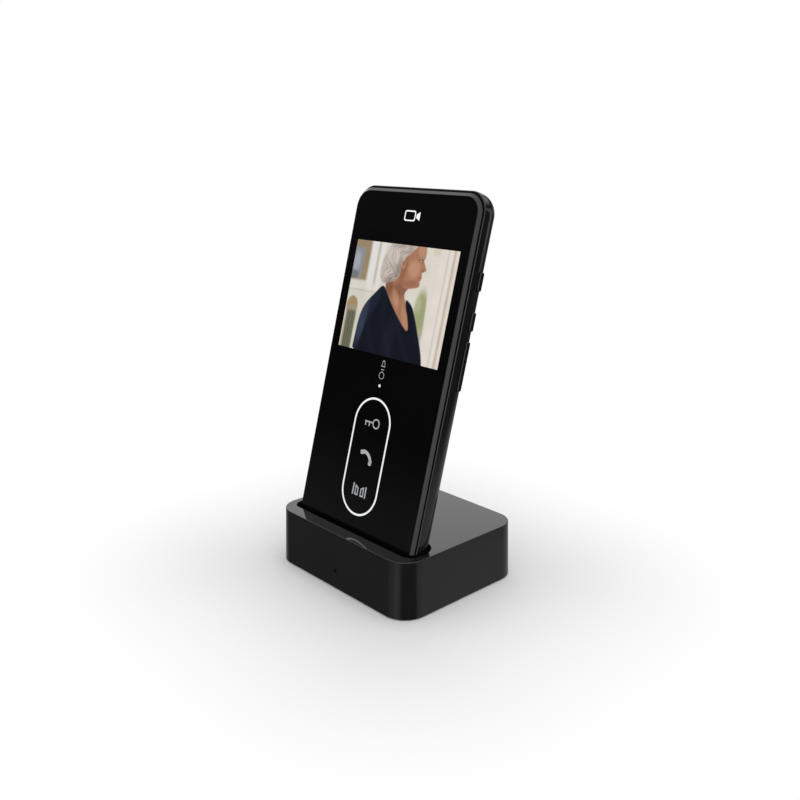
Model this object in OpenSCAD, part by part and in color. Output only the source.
// Cordless video intercom monitor standing in its charging dock.
// Frame: +Z up, the front faces -Y, origin in the middle of the dock's footprint, on the floor.
// Handset pieces are drawn in the handset's own frame: X across, Y from the front face to the
// back, Z up its length from where the front face meets the dock's top. in_handset() places them.

/* [Dock] */
// Width of the dock at its base
dock_w = 97.6; // [96:0.1:104]
// Depth of the dock at its base
dock_d = 78.7; // [76:0.1:86]
// Height of the dock with its feet
dock_h = 28.5; // [28:0.1:32]
// Corner radius of the dock at its base
dock_r = 12.2; // [11.8:0.1:13]
// How far each side leans in over the dock's height
dock_draft = 0.95; // [0.4:0.05:1.2]
// Wall thickness of the dock's shell
dock_wall = 1.6; // [1.4:0.1:1.8]
// How far the rubber feet stand out below the base plate
foot_h = 0.5; // [0.4:0.1:1]

/* [Slot] */
// Width of the slot in the dock's top
slot_w = 88.6; // [88:0.1:90]
// Free gap between the slot's front edge and the handset
slot_gap = 3; // [2.8:0.05:3.4]
// Radius of the slot's two front corners
slot_r = 5.5; // [4.5:0.1:6]
// Radius of the slot's two rear corners
slot_back_r = 8.5; // [6:0.1:8.6]
// How deep the handset stands in the dock, along its own length
seat_depth = 14; // [12:0.5:14]
// How far the handset leans back from vertical, in degrees
tilt = 15; // [12:1:16]
// Where the handset's front face crosses the dock's top, front to back
face_y = -28.21; // [-29:0.01:-27]

/* [Handset] */
// Width of the front panel
hand_w = 84.3; // [83:0.1:85]
// How far the front panel stands up out of the dock, along its own length
hand_up = 164; // [160:0.5:170]
// Corner radius of the front panel
hand_r = 9.6; // [8:0.1:11]
// Thickness of the handset
hand_t = 14.5; // [14.3:0.1:14.6]
// How far the rear case stands out past the front panel at each side
case_side = 0.45; // [0.1:0.05:0.6]
// How far the rear case stands up past the top of the front panel
case_top = 1.5; // [0.2:0.1:1.8]
// Corner radius of the rear case
case_r = 10; // [9.6:0.1:11]
// Radius of the round edge at the back
back_r = 9; // [8.5:0.1:9.2]
// Wall thickness of the rear case
case_wall = 1.6; // [1.4:0.1:1.8]

/* [Front panel] */
// Thickness of the front panel
panel_t = 1.6; // [1.4:0.1:1.7]
// Depth of the chamfer round the front panel
chamfer_d = 1.3; // [0.8:0.1:1.3]
// Width of the chamfer round the front panel
chamfer_w = 1.54; // [1:0.02:1.8]
// Height of the recessed seam behind the front panel
seam_t = 0.7; // [0.5:0.1:0.8]
// Depth of the recessed seam
seam_in = 0.95; // [0.6:0.05:1]

/* [Display] */
// Width of the picture
screen_w = 70.1; // [69:0.1:71]
// Height of the picture
screen_h = 53.3; // [52:0.1:54]
// Height of the picture's middle above the dock
screen_z = 111.35; // [108:0.05:114]

/* [Touch keys] */
// Width of the lit outline, to the middle of its line
ring_w = 24.6; // [22:0.1:28]
// Length of the lit outline, to the middle of its line
ring_l = 56.9; // [50:0.1:60]
// Height of the lit outline's middle above the dock
ring_z = 35.6; // [34:0.1:38]
// Width of the lit line
ring_line = 1.15; // [0.8:0.05:1.6]

/* [Side buttons] */
// Distance from the middle of the handset to the face of a button
button_x = 43.4; // [43:0.05:43.6]
// Thickness of a button, front to back
button_t = 2.5; // [2:0.1:2.6]
// Length of the two short buttons
button_short = 8.5; // [7:0.1:9]
// Length of the long button
button_long = 22.5; // [20:0.1:23]
// How far a button presses in
button_travel = 0.6; // [0.3:0.1:0.6]

/* [Hidden] */
$fn = 48;
EPS = 0.05;
BIG = 300;

dock_z0 = foot_h;
plate_z1 = 2.5;
shell_in = dock_wall + 0.1;
boss_x = 38.5;
boss_y = 29.5;
boss_top = 12;
foot_x = 31;
foot_y = 22;
foot_r = 5;
board_z = 3.6;
board_t = 1.6;
board_hole_x = 18;
board_hole_y = [-14, 22];
board_w = 44;
board_y = [-35.5, 33];
light_z = 9.5;
light_r = 0.6;
inlet_z = 10.7;
inlet_r = 3.7;
jack_half = 4.6;
jack_y = [24, 36.6];

hand_h = seat_depth;
body_y = panel_t + seam_t;
flat_y = hand_t - back_r;
case_y = hand_t - case_wall;
well_wall = 0.8;
well_y = hand_t + 0.2;
well_floor = 1.5;
well_gap = 0.05;
floor_z = -seat_depth - well_gap;

pin_x = 6;
mic_x = 14;
pin_y = 4.5;
pin_r = 0.75;
pin_tip = -13.2;
pin_flange_r = 1.15;
pin_flange_z = floor_z - well_floor - 0.05;
pin_flange_t = 0.75;
block_h = 6.5;
block_z = floor_z - well_floor - block_h;

case_screw_x = 28;
case_screw_z = [-1, 152];
lcd_w = 76.9;
lcd_h = 63.9;
board_y0 = 5.3;
board_y1 = 6.5;
cover_w = 54;
cover_z = [15, 81];
speaker_z = 125;
button_y = 8.05;
button_z = [126.55, 108.55, 88.25];
button_len = [button_short, button_short, button_long];
button_gap = 0.2;
switch_x = 37.2;
inlay_t = 0.5;

// ---- shared shapes ----

// Outline of a rounded rectangle about the origin; each corner is an arc of n steps
function round_rect(w, h, r, n = 10) = [
    for (corner = [0 : 3])
        let (
            cx = (corner == 0 || corner == 3 ? 1 : -1) * (w / 2 - r),
            cy = (corner < 2 ? 1 : -1) * (h / 2 - r)
        )
        for (step = [0 : n])
            let (a = 90 * corner + 90 * step / n)
            [cx + r * cos(a), cy + r * sin(a)]
];

module in_handset() {
    translate([0, face_y, dock_h])
        rotate([-tilt, 0, 0])
        children();
}

// A box between two corners
module block(low, high) {
    translate(low)
        cube(high - low);
}

// A flat outline in the handset's X and Z, from depth y0 to depth y1
module sheet(y0, y1) {
    translate([0, y1, 0])
        rotate([90, 0, 0])
        linear_extrude(y1 - y0)
        children();
}

// A rounded plate in the handset's frame
module plate(w, z0, z1, r, y0, y1) {
    sheet(y0, y1)
        translate([0, (z0 + z1) / 2])
        polygon(round_rect(w, z1 - z0, r));
}

// A round bar in the handset's frame, along Y
module bar_y(x, z, r, y0, y1) {
    translate([x, y0, z])
        rotate([-90, 0, 0])
        cylinder(r = r, h = y1 - y0);
}

// A slab with rounded corners, one large round edge at the back and an eased edge at the front
module slab(w, z0, z1, r, edge, y0, y1, ease) {
    profile = concat(
        [[0, y0], [r - ease, y0], [r - ease * 0.3, y0 + ease * 0.3], [r, y0 + ease]],
        [for (step = [0 : 8])
            let (a = 90 * step / 8)
            [r - edge + edge * cos(a), y1 - edge + edge * sin(a)]],
        [[0, y1]]
    );
    hull()
        for (sx = [-1, 1], z = [z0 + r, z1 - r])
            translate([sx * (w / 2 - r), 0, z])
            rotate([-90, 0, 0])
            rotate_extrude($fn = 36)
            polygon(profile);
}

// The dock's outer block, drawn in by inset on every side
module dock_block(inset, z0, z1) {
    function lean(z) = dock_draft * z / dock_h;
    hull()
        for (z = [z0, z1 - EPS])
            translate([0, 0, z])
            linear_extrude(EPS)
            polygon(round_rect(
                dock_w - 2 * (inset + lean(z)),
                dock_d - 2 * (inset + lean(z)),
                dock_r - inset - lean(z)
            ));
}

// The space that the handset drops into, grown by wall and deepened by floor
module slot_space(wall, floor, top) {
    y0 = -slot_gap - wall;
    y1 = well_y + wall;
    front = round_rect(slot_w + 2 * wall, y1 - y0, slot_r + wall);
    back = round_rect(slot_w + 2 * wall, y1 - y0, slot_back_r + wall);
    translate([0, (y0 + y1) / 2, floor_z - floor])
        linear_extrude(top - floor_z + floor)
        polygon(concat(
            [for (p = back) if (p.y > 0) p],
            [for (p = front) if (p.y <= 0) p]
        ));
}

module at_corners(x, y) {
    for (sx = [-1, 1], sy = [-1, 1])
        translate([sx * x, sy * y, 0])
        children();
}

// A round wire wound into a spring, standing on the XY plane
module coil_spring(r, wire_r, height, turns) {
    sides = 8;
    steps = 12 * turns;
    points = [
        for (i = [0 : steps])
            let (a = 360 * turns * i / steps, z = wire_r + (height - 2 * wire_r) * i / steps)
            for (k = [0 : sides - 1])
                let (b = 360 * k / sides, d = r + wire_r * cos(b))
                [d * cos(a), d * sin(a), z + wire_r * sin(b)]
    ];
    walls = [
        for (i = [0 : steps - 1], k = [0 : sides - 1])
            let (n = (k + 1) % sides)
            [i * sides + k, i * sides + n, (i + 1) * sides + n, (i + 1) * sides + k]
    ];
    first = [for (k = [sides - 1 : -1 : 0]) k];
    last = [for (k = [0 : sides - 1]) steps * sides + k];
    polyhedron(points, concat(walls, [first, last]), convexity = 10);
}

// ---- dock ----

module dock_shell() {
    color("#141416")
    difference() {
        union() {
            difference() {
                dock_block(0, dock_z0, dock_h);
                dock_block(dock_wall, -1, dock_h - dock_wall);
            }
            at_corners(boss_x, boss_y)
                translate([0, 0, plate_z1])
                cylinder(r = 3, h = boss_top - plate_z1);
            for (sx = [-1, 1], sy = [-1, 1])
                translate([sx * (boss_x + 5.3), sy * boss_y, (plate_z1 + boss_top) / 2])
                cube([7, 1.6, boss_top - plate_z1], center = true);
        }
        in_handset()
            slot_space(0, 0, 30);
        at_corners(boss_x, boss_y)
            translate([0, 0, plate_z1 - 1])
            cylinder(r = 1.42, h = 8.5);
        translate([0, -dock_d / 2 - 1, light_z])
            rotate([-90, 0, 0])
            cylinder(r = light_r, h = 4);
        translate([0, dock_d / 2 - 4, inlet_z])
            rotate([-90, 0, 0])
            cylinder(r = inlet_r + 0.1, h = 6);
    }
}

module cradle_well() {
    color("#1c1c1f")
    difference() {
        in_handset()
            slot_space(well_wall, well_floor, 12);
        in_handset()
            slot_space(0, 0, 30);
        block([-BIG, -BIG, dock_h - dock_wall - 0.02], [BIG, BIG, BIG]);
        in_handset()
            for (sx = [-1, 1])
                translate([sx * pin_x, pin_y, block_z])
                cylinder(r = pin_r + 0.07, h = 12);
    }
}

module base_plate() {
    color("#1a1a1c")
    difference() {
        union() {
            translate([0, 0, dock_z0])
                linear_extrude(plate_z1 - dock_z0)
                polygon(round_rect(dock_w - 2 * shell_in - 0.2, dock_d - 2 * shell_in - 0.2,
                                   dock_r - shell_in - 0.1));
            for (sx = [-1, 1], y = board_hole_y)
                translate([sx * board_hole_x, y, plate_z1 - EPS])
                cylinder(r = 2.4, h = board_z - plate_z1 + EPS);
        }
        at_corners(boss_x, boss_y) {
            translate([0, 0, -1])
                cylinder(r = 1.6, h = 6);
            translate([0, 0, -1])
                cylinder(r = 2.9, h = 2.7);
        }
        at_corners(foot_x, foot_y)
            translate([0, 0, -1])
            cylinder(r = foot_r + 0.1, h = 1 + foot_h + 0.8);
        for (sx = [-1, 1], y = board_hole_y)
            translate([sx * board_hole_x, y, plate_z1 - 0.8])
            cylinder(r = 0.92, h = 4);
    }
}

module rubber_feet() {
    color("#2b2b2d")
    at_corners(foot_x, foot_y)
        rotate_extrude()
        polygon([[0, 0], [foot_r - 0.3, 0], [foot_r, 0.3], [foot_r, foot_h + 0.75],
                 [0, foot_h + 0.75]]);
}

// A pan-head screw with a cross slot, head down at z0, pointing up
module screw(head_r, head_h, shank_r, length) {
    difference() {
        union() {
            cylinder(r = head_r, h = head_h);
            cylinder(r = shank_r, h = head_h + length);
        }
        for (a = [0, 90])
            rotate([0, 0, a])
            translate([0, 0, head_h * 0.2])
            cube([head_r * 1.2, head_r * 0.28, head_h * 0.9], center = true);
    }
}

module base_screws() {
    color("#8f9297")
    at_corners(boss_x, boss_y)
        translate([0, 0, 0.7])
        screw(2.6, 1, 1.4, 7);
}

module ballast_weights() {
    color("#6f7276")
    for (sx = [-1, 1])
        translate([sx * 33.5, 8, plate_z1 + 0.05])
        linear_extrude(11.4)
        polygon(round_rect(13, 36, 2));
}

module charging_board() {
    color("#1d5b38")
    difference() {
        block([-board_w / 2, board_y[0], board_z], [board_w / 2, board_y[1], board_z + board_t]);
        for (sx = [-1, 1], y = board_hole_y)
            translate([sx * board_hole_x, y, 0])
            cylinder(r = 1.2, h = 20);
    }
}

module charger_parts() {
    top = board_z + board_t;
    color("#202022") {
        block([-14, -6, top], [-7, 1, top + 1.4]);
        block([-2, 2, top], [3, 8, top + 1.2]);
        block([8, -2, top], [14, 4, top + 3]);
        translate([-12, 12, top])
            cylinder(r = 3.2, h = 7);
        translate([12, 13, top])
            cylinder(r = 3.2, h = 7);
    }
}

module board_screws() {
    color("#a9acb0")
    for (sx = [-1, 1], y = board_hole_y)
        translate([sx * board_hole_x, y, board_z + board_t + 1.2])
        rotate([180, 0, 0])
        screw(1.9, 1.2, 0.9, board_t + 1.7);
}

module power_inlet() {
    color("#232326")
    translate([0, 0, inlet_z])
        rotate([-90, 0, 0]) {
            difference() {
                union() {
                    block([-jack_half, -jack_half, jack_y[0]],
                          [jack_half, inlet_z - board_z - board_t, jack_y[1]]);
                    translate([0, 0, 36])
                        cylinder(r = inlet_r, h = 2.9);
                }
                translate([0, 0, 28])
                    cylinder(r = 2.85, h = 20);
            }
            translate([0, 0, 27])
                cylinder(r = 1.0, h = 10.5);
        }
}

module status_led() {
    color("#e8f3ff")
    block([-1, -35, board_z + board_t], [1, -33, board_z + board_t + 1]);
}

module light_pipe() {
    color("#e6edf2")
    union() {
        translate([0, -dock_d / 2 + 0.55, light_z])
            rotate([-90, 0, 0])
            cylinder(r = light_r - 0.05, h = 3);
        translate([0, -dock_d / 2 + 2.2, light_z])
            rotate([-90, 0, 0])
            cylinder(r = 1.2, h = 4);
        translate([0, -34, board_z + board_t + 1.1])
            cylinder(r = 1.2, h = light_z - board_z - board_t - 1.1);
    }
}

module pin_block() {
    color("#2a2a2e")
    in_handset()
        difference() {
            union() {
                block([-10, pin_y - 2.5, block_z], [10, pin_y + 2.5, block_z + block_h]);
                for (sx = [-1, 1])
                    translate([sx * pin_x, pin_y, block_z - 0.8])
                    cylinder(r = 0.4, h = 1);
            }
            for (sx = [-1, 1])
                translate([sx * pin_x, pin_y, block_z + 0.6])
                cylinder(r = pin_flange_r + 0.08, h = 10);
        }
}

module contact_pin(x) {
    color("#d6a93a")
    in_handset()
        translate([x, pin_y, 0]) {
            translate([0, 0, pin_flange_z - pin_flange_t])
                cylinder(r = pin_flange_r, h = pin_flange_t);
            translate([0, 0, pin_flange_z - EPS])
                cylinder(r = pin_r, h = pin_tip - 0.4 - pin_flange_z + EPS);
            translate([0, 0, pin_tip - 0.4])
                cylinder(r1 = pin_r, r2 = pin_r - 0.3, h = 0.4);
        }
}

module contact_pin_left() {
    contact_pin(-pin_x);
}

module contact_pin_right() {
    contact_pin(pin_x);
}

module pin_spring(x) {
    low = block_z + 0.62;
    color("#c9ccd1")
    in_handset()
        translate([x, pin_y, low])
        coil_spring(0.85, 0.14, pin_flange_z - pin_flange_t - 0.03 - low, 5);
}

module pin_spring_left() {
    pin_spring(-pin_x);
}

module pin_spring_right() {
    pin_spring(pin_x);
}

// ---- handset: front ----

module panel_outline(inset, y0, y1) {
    plate(hand_w - 2 * inset, inset - hand_h, hand_up - inset, hand_r - inset, y0, y1);
}

module ring_shape(line) {
    translate([0, ring_z])
        difference() {
            polygon(round_rect(ring_w + line, ring_l + line, (ring_w + line) / 2 - 0.01, 16));
            polygon(round_rect(ring_w - line, ring_l - line, (ring_w - line) / 2 - 0.01, 16));
        }
}

module tube_2d(r, line) {
    difference() {
        circle(r = r);
        circle(r = r - line);
    }
}

// Key sign: a bow, a shaft and two teeth
module key_shape() {
    translate([2.8, 52.35])
        tube_2d(2.5, 0.75);
    translate([-5.1, 52.0])
        square([5.7, 0.8]);
    translate([-4.8, 50.2])
        square([0.8, 1.9]);
    translate([-2.2, 50.2])
        square([0.8, 1.9]);
}

// Telephone sign: an arched grip with a rounded end at each side
module phone_shape() {
    translate([-2.6, 31.3])
        intersection() {
            tube_2d(7.3, 1.7);
            translate([1, 1])
                square([9, 9]);
        }
    translate([-2.4, 37.6])
        rotate([0, 0, 20])
        square([3.0, 2.3], center = true);
    translate([3.9, 33.2])
        rotate([0, 0, 70])
        square([3.0, 2.3], center = true);
}

// Gate sign: two posts and two leaves
module gate_shape() {
    for (sx = [-1, 1]) {
        translate([sx * 4.45, 18.9])
            square([0.75, 5.7], center = true);
        scale([sx, 1])
            difference() {
                polygon([[0.75, 16.2], [3.1, 16.2], [3.1, 21.3], [0.75, 20]]);
                polygon([[1.35, 16.8], [2.5, 16.8], [2.5, 20.3], [1.35, 19.7]]);
            }
    }
}

module icon_shapes() {
    key_shape();
    phone_shape();
    gate_shape();
}

// Status row: a lamp dot, a ringed sign, a bar and a bell
module status_shapes() {
    translate([0.1, 70.5])
        circle(r = 0.65);
    translate([0.1, 75.5])
        tube_2d(1.8, 0.4);
    translate([0.1, 75.5])
        circle(r = 0.5);
    translate([0.1, 78.3])
        square([2, 0.35], center = true);
    translate([0.1, 81.1])
        difference() {
            polygon([[-1.4, -1.3], [1.4, -1.3], [0.9, 0.4], [0.6, 1.7], [-0.6, 1.7], [-0.9, 0.4]]);
            polygon([[-0.8, -0.9], [0.8, -0.9], [0.5, 0.3], [0.3, 1.3], [-0.3, 1.3], [-0.5, 0.3]]);
        }
}

// Plain camera pictogram
module mark_shape() {
    translate([-1.3, 151.7])
        difference() {
            polygon(round_rect(7.4, 5, 1.1, 4));
            polygon(round_rect(6.2, 3.8, 0.7, 4));
        }
    polygon([[3, 151], [5.3, 149.6], [5.3, 153.8], [3, 152.4]]);
}

module front_panel() {
    color("#060608")
    in_handset()
        difference() {
            hull() {
                panel_outline(chamfer_w, 0, EPS);
                panel_outline(0, chamfer_d, panel_t);
            }
            plate(screen_w + 0.04, screen_z - screen_h / 2 - 0.02, screen_z + screen_h / 2 + 0.02,
                  0.3, -1, 5);
            sheet(-1, inlay_t)
                ring_shape(ring_line);
            sheet(-1, inlay_t)
                icon_shapes();
            sheet(-1, inlay_t)
                status_shapes();
            sheet(-1, inlay_t)
                mark_shape();
        }
}

module display_lens() {
    color("#3c4248")
    in_handset()
        plate(screen_w, screen_z - screen_h / 2, screen_z + screen_h / 2, 0.3, 0, panel_t);
}

module touch_ring() {
    color("#f4f6f8")
    in_handset()
        sheet(0, inlay_t)
        ring_shape(ring_line);
}

module touch_icons() {
    color("#e9ecef")
    in_handset()
        sheet(0, inlay_t)
        icon_shapes();
}

module status_icons() {
    color("#dfe3e6")
    in_handset()
        sheet(0, inlay_t)
        status_shapes();
}

module front_mark() {
    color("#f4f6f8")
    in_handset()
        sheet(0, inlay_t)
        mark_shape();
}

module case_screw_places() {
    for (sx = [-1, 1], z = case_screw_z)
        translate([sx * case_screw_x, 0, z])
        children();
}

module front_frame() {
    color("#0c0c0e")
    in_handset()
        difference() {
            union() {
                panel_outline(seam_in, panel_t + 0.02, body_y);
                difference() {
                    panel_outline(case_wall + 0.15, body_y - EPS, body_y + 2.6);
                    panel_outline(case_wall + 1.25, 0, 10);
                }
                case_screw_places()
                    bar_y(0, 0, 2.4, body_y - EPS, case_y - 0.1);
            }
            block([-lcd_w / 2 - 0.15, 0, screen_z - lcd_h / 2 - 0.15],
                  [lcd_w / 2 + 0.15, 3, screen_z + lcd_h / 2 + 0.15]);
            block([-17, 0, 2.5], [17, 3, 69]);
            block([-pin_x - 4, body_y + 0.1, -hand_h], [mic_x + 3, 10, -10]);
            case_screw_places()
                bar_y(0, 0, 1.02, 4, 20);
        }
}

module lcd_box(y0, y1, inset) {
    block([-lcd_w / 2 + inset, y0, screen_z - lcd_h / 2 + inset],
          [lcd_w / 2 - inset, y1, screen_z + lcd_h / 2 - inset]);
}

module lcd_panel() {
    color("#2d3136")
    in_handset()
        lcd_box(panel_t + 0.1, 3.3, 0);
}

module lcd_backlight() {
    color("#c7cace")
    in_handset()
        difference() {
            lcd_box(3.35, 5.1, 0);
            lcd_box(3.0, 3.7, 1.2);
        }
}

module touch_sensor() {
    color("#5b4a2c")
    in_handset()
        plate(33, 3, 68, 2, panel_t + 0.05, 2.15);
}

module key_light_guide() {
    color("#dfe7ec")
    in_handset()
        plate(32, 3.5, 67.5, 3, 2.2, 3.8);
}

// ---- handset: back and inside ----

module button_hole(i) {
    block([38, button_y - button_t / 2 - button_gap, button_z[i] - button_len[i] / 2 - button_gap],
          [50, button_y + button_t / 2 + button_gap, button_z[i] + button_len[i] / 2 + button_gap]);
}

module rear_case() {
    color("#0d0d0f")
    in_handset()
        difference() {
            slab(hand_w + 2 * case_side, -hand_h, hand_up + case_top, case_r, back_r,
                 body_y + 0.02, hand_t, 0.8);
            slab(hand_w - 2 * case_wall, case_wall - hand_h, hand_up - case_wall,
                 hand_r - case_wall, back_r - case_wall, 0, case_y, 0);
            plate(cover_w + 0.4, cover_z[0] - 0.2, cover_z[1] + 0.2, 3.2, hand_t - 0.8, 20);
            plate(cover_w - 4, cover_z[0] + 2, cover_z[1] - 2, 2, 12, 20);
            for (i = [0 : 2])
                button_hole(i);
            case_screw_places() {
                bar_y(0, 0, 1.15, 10, 20);
                bar_y(0, 0, 2.15, hand_t - 1, 20);
            }
            for (ring = [0 : 3], k = [0 : max(6 * ring - 1, 0)])
                let (a = 360 * k / max(6 * ring, 1))
                bar_y(2.9 * ring * cos(a), speaker_z + 2.9 * ring * sin(a), 0.75, 10, 20);
            for (sx = [-1, 1])
                translate([sx * pin_x, pin_y, -hand_h - 1])
                cylinder(r = 1.6, h = 4);
            translate([mic_x, pin_y, -hand_h - 1])
                cylinder(r = 0.6, h = 4);
        }
}

module battery_cover() {
    lip_w = cover_w - 4.6;
    color("#0f0f12")
    in_handset()
        difference() {
            union() {
                plate(cover_w, cover_z[0], cover_z[1], 3, hand_t - 0.75, hand_t);
                plate(lip_w, cover_z[0] + 2.3, cover_z[1] - 2.3, 2, case_y - 0.3, hand_t - 0.7);
            }
            plate(lip_w - 2.4, cover_z[0] + 3.5, cover_z[1] - 3.5, 1, 10, hand_t - 0.75);
            bar_y(0, cover_z[1] + 3.5, 6, hand_t - 0.4, 20);
        }
}

module case_screws() {
    color("#3a3b3e")
    in_handset()
        case_screw_places()
        translate([0, hand_t - 0.05, 0])
        rotate([90, 0, 0])
        screw(2.0, 0.9, 1.0, 8);
}

module main_board() {
    color("#14513a")
    in_handset()
        difference() {
            plate(73, 1, 157, 2, board_y0, board_y1);
            for (sx = [-1, 1])
                bar_y(sx * case_screw_x, case_screw_z[1], 3, 0, 20);
            for (sx = [-1, 1])
                bar_y(sx * case_screw_x, case_screw_z[0], 4, 0, 20);
        }
}

module main_chips() {
    color("#1b1b1d")
    in_handset() {
        block([14, board_y1, 90], [26, board_y1 + 1.1, 102]);
        block([16, board_y1, 106], [24, board_y1 + 1.0, 111]);
        block([-31, board_y1, 112], [-20, board_y1 + 1.1, 122]);
        block([-30, board_y1, 60], [-25.5, board_y1 + 1.4, 70]);
        block([-31, board_y1, 30], [-26, board_y1 + 1.2, 42]);
        block([-10, board_y1, 142], [-2, board_y1 + 1.1, 150]);
    }
}

module shield_can() {
    color("#b5b9bd")
    in_handset()
        difference() {
            block([-31, board_y1, 84], [11, board_y1 + 2.3, 106]);
            block([-30.7, board_y1 - 1, 84.3], [10.7, board_y1 + 2, 105.7]);
        }
}

module antenna() {
    color("#b98a4a")
    in_handset() {
        block([-18, 5.4, 158], [18, 6.2, 161.4]);
        block([-14, 5.4, 157.1], [-12, 6.2, 158 + EPS]);
    }
}

module speaker() {
    color("#3a3b3f")
    in_handset()
        difference() {
            union() {
                bar_y(0, speaker_z, 13.5, 10.6, 12.5);
                bar_y(0, speaker_z, 8, 8.2, 10.6 + EPS);
            }
            bar_y(0, speaker_z, 11.5, 12.1, 13);
        }
}

module microphone() {
    color("#9a9da1")
    in_handset()
        translate([mic_x, pin_y, case_wall - hand_h + 0.05])
        cylinder(r = 1.55, h = 1.6);
}

module battery_pack() {
    color("#3b5f8a")
    in_handset()
        plate(46, 20, 76.5, 2, 7.7, 12.4);
}

module battery_contacts() {
    color("#d0a640")
    in_handset()
        for (x = [-6, 0, 6])
            block([x - 1, board_y1, 77], [x + 1, board_y1 + 3, 79.2]);
}

module charge_contacts() {
    color("#d8ae48")
    in_handset()
        for (sx = [-1, 1])
            translate([sx * pin_x, pin_y, 0]) {
                translate([0, 0, -13.15])
                    cylinder(r = 1.5, h = 2);
                translate([0, 0, case_wall - hand_h + 0.15])
                    cylinder(r = 1.9, h = 0.5);
            }
}

module side_switch_board() {
    color("#14513a")
    in_handset()
        block([33.5, 6.7, 75], [34.5, 11.3, 133]);
}

module side_switches() {
    color("#c4c7cb")
    in_handset()
        for (z = button_z)
            difference() {
                block([34.5, button_y - 1.5, z - 2], [switch_x, button_y + 1.5, z + 2]);
                translate([switch_x - 1, button_y, z])
                    rotate([0, 90, 0])
                    cylinder(r = 0.9, h = 5);
            }
}

// A side button: cap through the case wall, flange inside, and a post into its switch
module side_button(i) {
    z0 = button_z[i] - button_len[i] / 2;
    z1 = button_z[i] + button_len[i] / 2;
    y0 = button_y - button_t / 2;
    y1 = button_y + button_t / 2;
    ease = 0.4;
    color("#0a0a0c")
    in_handset() {
        block([38.4, y0, z0], [button_x - ease, y1, z1]);
        translate([0, 0, button_z[i]])
            hull() {
                block([button_x - ease - EPS, y0, z0 - button_z[i]],
                      [button_x - ease, y1, z1 - button_z[i]]);
                block([button_x - EPS, y0 + ease, z0 - button_z[i] + ease],
                      [button_x, y1 - ease, z1 - button_z[i] - ease]);
            }
        block([37.9, y0 - 0.5, z0 - 0.9], [38.5, y1 + 0.3, z1 + 0.9]);
        translate([switch_x + 0.05, button_y, button_z[i]])
            rotate([0, 90, 0])
            cylinder(r = 0.6, h = 0.8);
    }
}

module side_button_top() {
    side_button(0);
}

module side_button_middle() {
    side_button(1);
}

module side_button_bottom() {
    side_button(2);
}

dock_shell();
cradle_well();
base_plate();
rubber_feet();
base_screws();
ballast_weights();
charging_board();
charger_parts();
board_screws();
power_inlet();
status_led();
light_pipe();
pin_block();
contact_pin_left();
contact_pin_right();
pin_spring_left();
pin_spring_right();
front_panel();
display_lens();
front_frame();
rear_case();
battery_cover();
case_screws();
lcd_panel();
lcd_backlight();
touch_sensor();
key_light_guide();
touch_ring();
touch_icons();
status_icons();
front_mark();
main_board();
main_chips();
shield_can();
antenna();
speaker();
microphone();
battery_pack();
battery_contacts();
charge_contacts();
side_switch_board();
side_switches();
side_button_top();
side_button_middle();
side_button_bottom();
